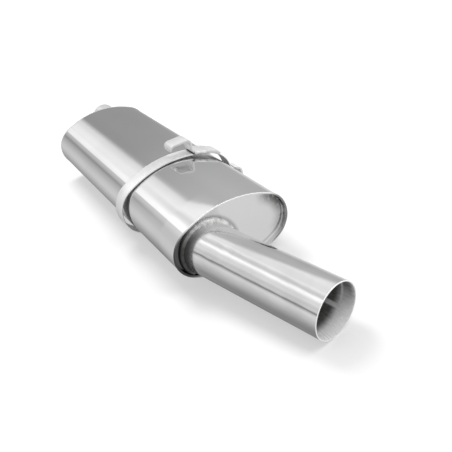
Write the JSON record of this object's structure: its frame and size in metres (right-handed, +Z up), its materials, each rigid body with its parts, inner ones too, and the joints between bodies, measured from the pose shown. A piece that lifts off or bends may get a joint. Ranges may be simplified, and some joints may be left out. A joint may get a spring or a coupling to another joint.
{
  "type": "rear muffler",
  "caption": "Oval stainless rear muffler with recessed end caps, an offset inlet pipe, a wide angled tail pipe, and a strap with hanger hooks.",
  "frame": {"origin": "Centre of the inlet pipe's open end.", "axes": "+X runs along the body from the inlet towards the tail pipe, +Y across the oval's long axis, +Z up, towards the top hook."},
  "size_m": [0.8304, 0.2125, 0.1353],
  "materials": {
    "polished_steel": "polished stainless steel",
    "brushed_steel": "fine brushed stainless steel",
    "weld_metal": "bare weld bead, partly heat tinted",
    "glass_wool": "matted glass wool"
  },
  "bodies": {
    "root": {"shell": "polished_steel", "shell_seam_weld": "weld_metal", "front_cap": "polished_steel", "rear_cap": "polished_steel", "front_rim_weld": "polished_steel", "rear_rim_weld": "polished_steel", "tail_pipe": "polished_steel", "tail_pipe_weld": "weld_metal", "inlet_pipe": "polished_steel", "inlet_pipe_weld": "weld_metal", "core_tube": "brushed_steel", "core_sleeve": "brushed_steel", "wool_packing": "glass_wool", "front_baffle": "brushed_steel", "rear_baffle": "brushed_steel", "strap": "brushed_steel", "strap_tack_welds": "weld_metal", "top_hook": "brushed_steel", "top_hook_weld": "weld_metal", "side_hook": "brushed_steel", "side_hook_weld": "weld_metal"}
  },
  "joints": []
}
